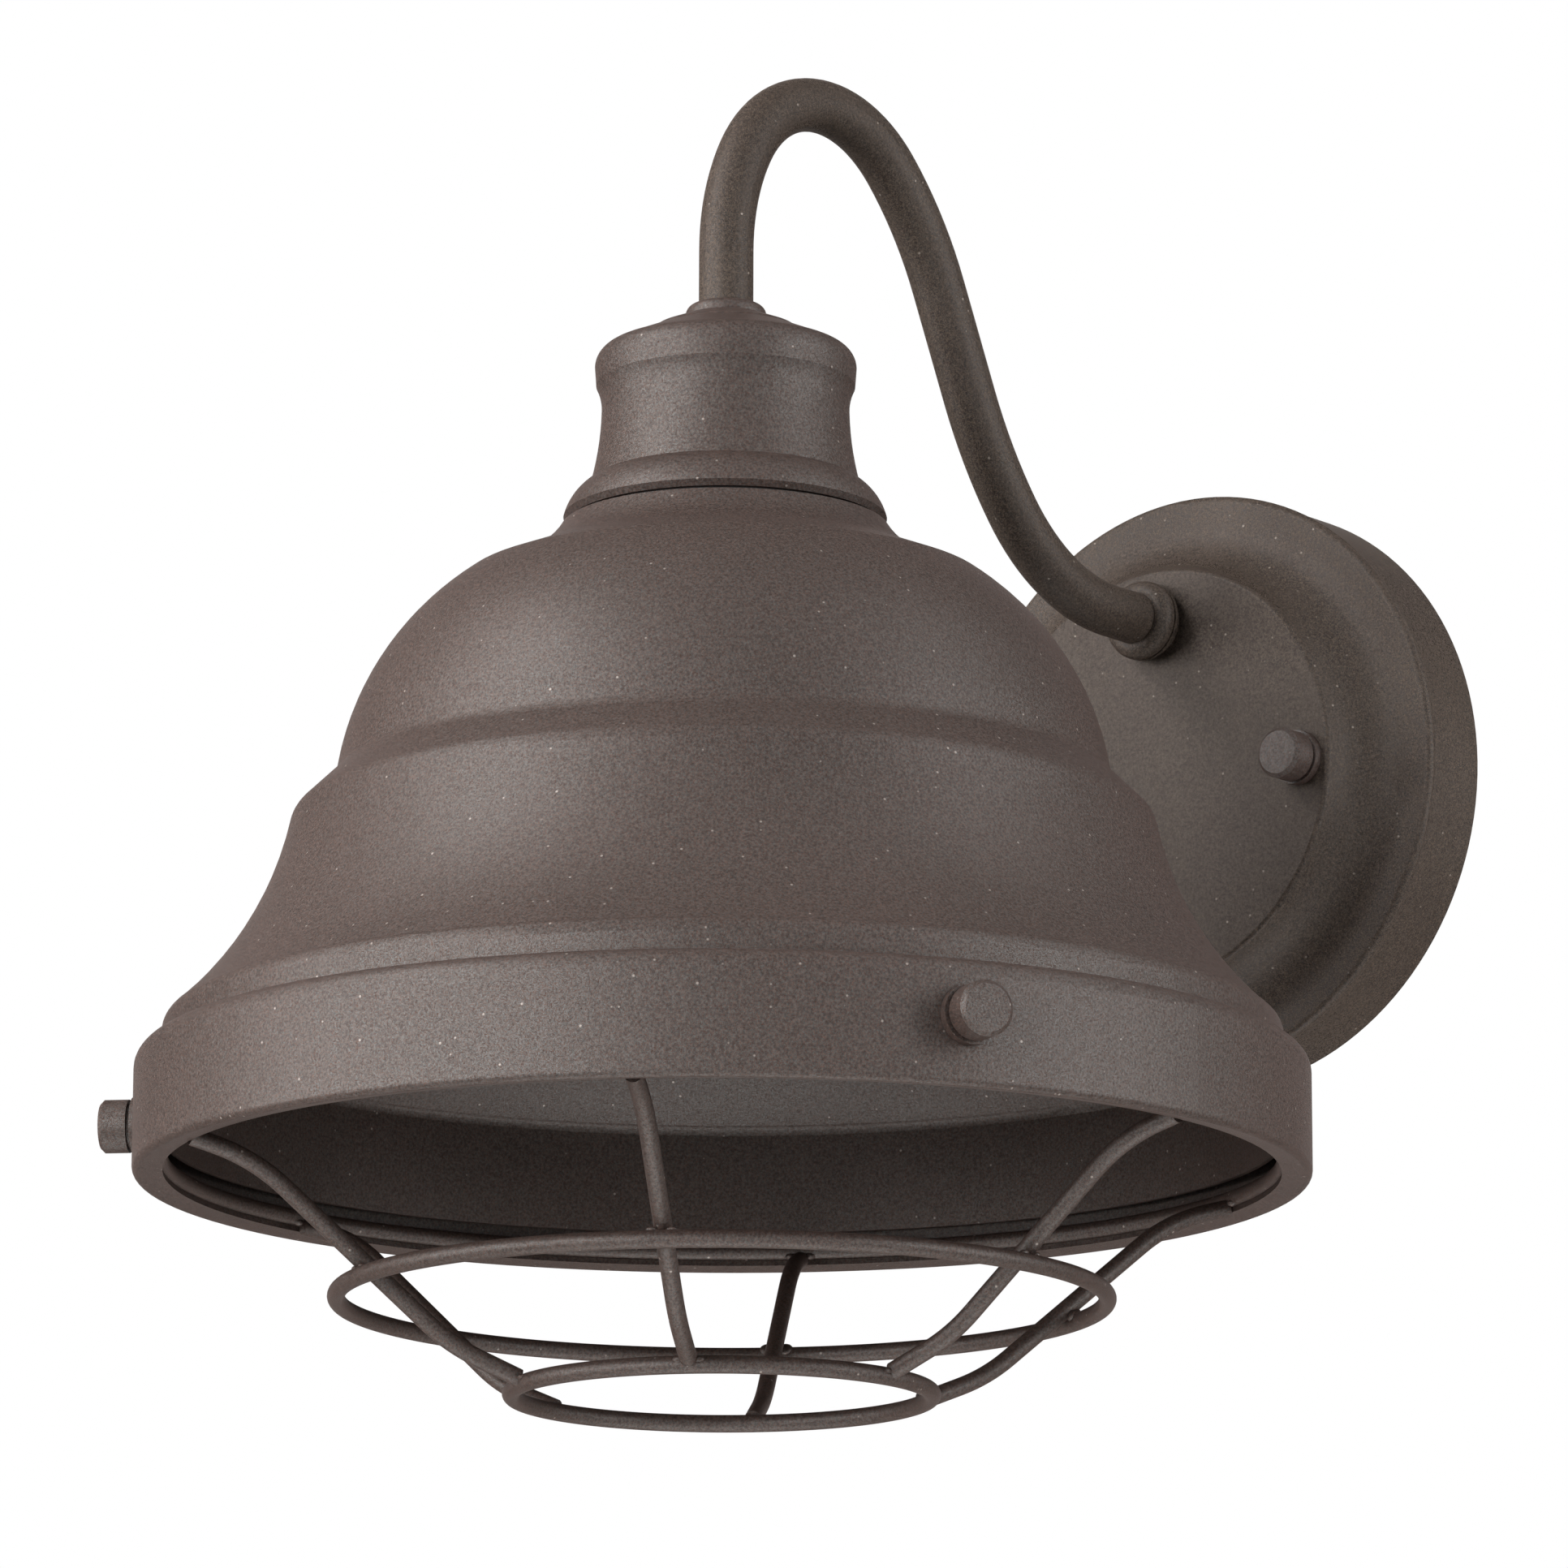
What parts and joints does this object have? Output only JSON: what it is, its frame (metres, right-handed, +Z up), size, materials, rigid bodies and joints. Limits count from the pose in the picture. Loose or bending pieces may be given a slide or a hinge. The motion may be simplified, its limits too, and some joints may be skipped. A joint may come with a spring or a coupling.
{
  "type": "outdoor wall sconce",
  "caption": "Gooseneck wall lamp with a bell-shaped metal shade, a rim band held by thumb screws, a wire bulb guard and a round stepped backplate.",
  "frame": {"origin": "centre of the backplate's rear face, on the wall", "axes": "+Z up, +X to the right as seen from the room, +Y into the wall; the lamp stands out towards -Y"},
  "size_m": [0.242, 0.3018, 0.2899],
  "materials": {
    "dark_bronze": "textured dark bronze powder coat",
    "dark_hardware": "satin dark bronze paint on brass",
    "zinc_steel": "zinc plated",
    "green_screw": "green dyed zinc",
    "gasket_rubber": "foam rubber",
    "porcelain": "glazed porcelain",
    "socket_brass": "plain brass",
    "black_lead": "insulation",
    "white_lead": "insulation",
    "copper_lead": "bare copper",
    "connector_plastic": "moulded",
    "bulb_glass": "frosted",
    "stem_glass": "clear",
    "bulb_metal": "plain",
    "bulb_black": "black glass insulator",
    "filament": "tungsten wire"
  },
  "bodies": {
    "lamp": {"backplate": "dark_bronze", "arm_tube": "dark_bronze", "arm_wall_washer": "dark_bronze", "arm_wall_collar": "dark_bronze", "arm_end_collar": "dark_bronze", "neck_housing": "dark_bronze", "shade": "dark_bronze", "mounting_strap": "zinc_steel", "mounting_studs": "zinc_steel", "stud_lock_nuts": "zinc_steel", "arm_wall_nipple": "zinc_steel", "arm_wall_lock_washer": "zinc_steel", "arm_wall_nut": "zinc_steel", "arm_end_nipple": "zinc_steel", "arm_end_lock_washer": "zinc_steel", "arm_end_nut": "zinc_steel", "shade_screws": "zinc_steel", "ground_screw": "green_screw", "backplate_gasket": "gasket_rubber", "shade_gasket": "gasket_rubber", "socket_body": "porcelain", "socket_floor": "porcelain", "screw_shell": "socket_brass", "centre_contact": "socket_brass", "socket_terminals": "socket_brass", "line_lead": "black_lead", "neutral_lead": "white_lead", "ground_lead": "copper_lead", "wire_connectors": "connector_plastic"},
    "guard": {"rim_band": "dark_bronze", "band_nuts": "zinc_steel", "cage_top_ring": "dark_bronze", "cage_middle_ring": "dark_bronze", "cage_bottom_ring": "dark_bronze", "cage_rib_1": "dark_bronze", "cage_rib_2": "dark_bronze", "cage_rib_3": "dark_bronze", "cage_rib_4": "dark_bronze", "cage_rib_5": "dark_bronze", "cage_rib_6": "dark_bronze"},
    "bulb_button": {"bulb_tip": "socket_brass"},
    "bulb": {"bulb_glass": "bulb_glass", "bulb_cap": "bulb_metal", "bulb_insulator": "bulb_black", "bulb_stem": "stem_glass", "bulb_filament": "filament"},
    "thumb_washer_1": {"thumb_washer_1": "dark_hardware"},
    "thumb_screw_1": {"thumb_screw_1": "dark_hardware"},
    "thumb_washer_2": {"thumb_washer_2": "dark_hardware"},
    "thumb_screw_2": {"thumb_screw_2": "dark_hardware"},
    "thumb_washer_3": {"thumb_washer_3": "dark_hardware"},
    "thumb_screw_3": {"thumb_screw_3": "dark_hardware"},
    "cap_nut_washer_left": {"cap_nut_washer_left": "dark_hardware"},
    "cap_nut_left": {"cap_nut_left": "dark_hardware"},
    "cap_nut_washer_right": {"cap_nut_washer_right": "dark_hardware"},
    "cap_nut_right": {"cap_nut_right": "dark_hardware"}
  },
  "joints": [
    {"name": "guard_drop", "type": "slide", "parent": "lamp", "child": "guard", "axis": [0, 0, -1], "range_m": [0, 0.06]},
    {"name": "bulb_lower", "type": "slide", "parent": "lamp", "child": "bulb_button", "axis": [0, 0, -1], "range_m": [0, 0.02]},
    {"name": "bulb_turn", "type": "hinge", "parent": "bulb_button", "child": "bulb", "pos_m": [0, -0.1808, 0], "axis": [0, 0, -1], "range_deg": [0, 1980]},
    {"name": "thumb_washer_1_back", "type": "slide", "parent": "guard", "child": "thumb_washer_1", "axis": [0.8878, -0.4602, 0], "range_m": [0, 0.0035]},
    {"name": "thumb_screw_1_turn", "type": "hinge", "parent": "thumb_washer_1", "child": "thumb_screw_1", "pos_m": [0.10743, -0.23648, -0.09739], "axis": [0.8878, -0.4602, 0], "range_deg": [0, 1980]},
    {"name": "thumb_washer_2_back", "type": "slide", "parent": "guard", "child": "thumb_washer_2", "axis": [-0.0454, 0.999, 0], "range_m": [0, 0.0035]},
    {"name": "thumb_screw_2_turn", "type": "hinge", "parent": "thumb_washer_2", "child": "thumb_screw_2", "pos_m": [-0.00549, -0.05992, -0.09739], "axis": [-0.0454, 0.999, 0], "range_deg": [0, 1980]},
    {"name": "thumb_washer_3_back", "type": "slide", "parent": "guard", "child": "thumb_washer_3", "axis": [-0.8425, -0.5388, 0], "range_m": [0, 0.0035]},
    {"name": "thumb_screw_3_turn", "type": "hinge", "parent": "thumb_washer_3", "child": "thumb_screw_3", "pos_m": [-0.10194, -0.24599, -0.09739], "axis": [-0.8425, -0.5388, 0], "range_deg": [0, 1980]},
    {"name": "cap_nut_washer_left_back", "type": "slide", "parent": "lamp", "child": "cap_nut_washer_left", "axis": [0, -1, 0], "range_m": [0, 0.0035]},
    {"name": "cap_nut_left_turn", "type": "hinge", "parent": "cap_nut_washer_left", "child": "cap_nut_left", "pos_m": [-0.0395, -0.0306, -0.0011], "axis": [0, -1, 0], "range_deg": [0, 1980]},
    {"name": "cap_nut_washer_right_back", "type": "slide", "parent": "lamp", "child": "cap_nut_washer_right", "axis": [0, -1, 0], "range_m": [0, 0.0035]},
    {"name": "cap_nut_right_turn", "type": "hinge", "parent": "cap_nut_washer_right", "child": "cap_nut_right", "pos_m": [0.0395, -0.0306, -0.0011], "axis": [0, -1, 0], "range_deg": [0, 1980]}
  ],
  "couplings": [
    {"joint": "bulb_lower", "follows": "bulb_turn", "m_per_rad": 0.00057751},
    {"joint": "thumb_screw_1_turn", "follows": "thumb_washer_1_back", "rad_per_m": 8976},
    {"joint": "thumb_screw_2_turn", "follows": "thumb_washer_2_back", "rad_per_m": 8976},
    {"joint": "thumb_screw_3_turn", "follows": "thumb_washer_3_back", "rad_per_m": 8976},
    {"joint": "cap_nut_left_turn", "follows": "cap_nut_washer_left_back", "rad_per_m": 8976},
    {"joint": "cap_nut_right_turn", "follows": "cap_nut_washer_right_back", "rad_per_m": 8976}
  ]
}
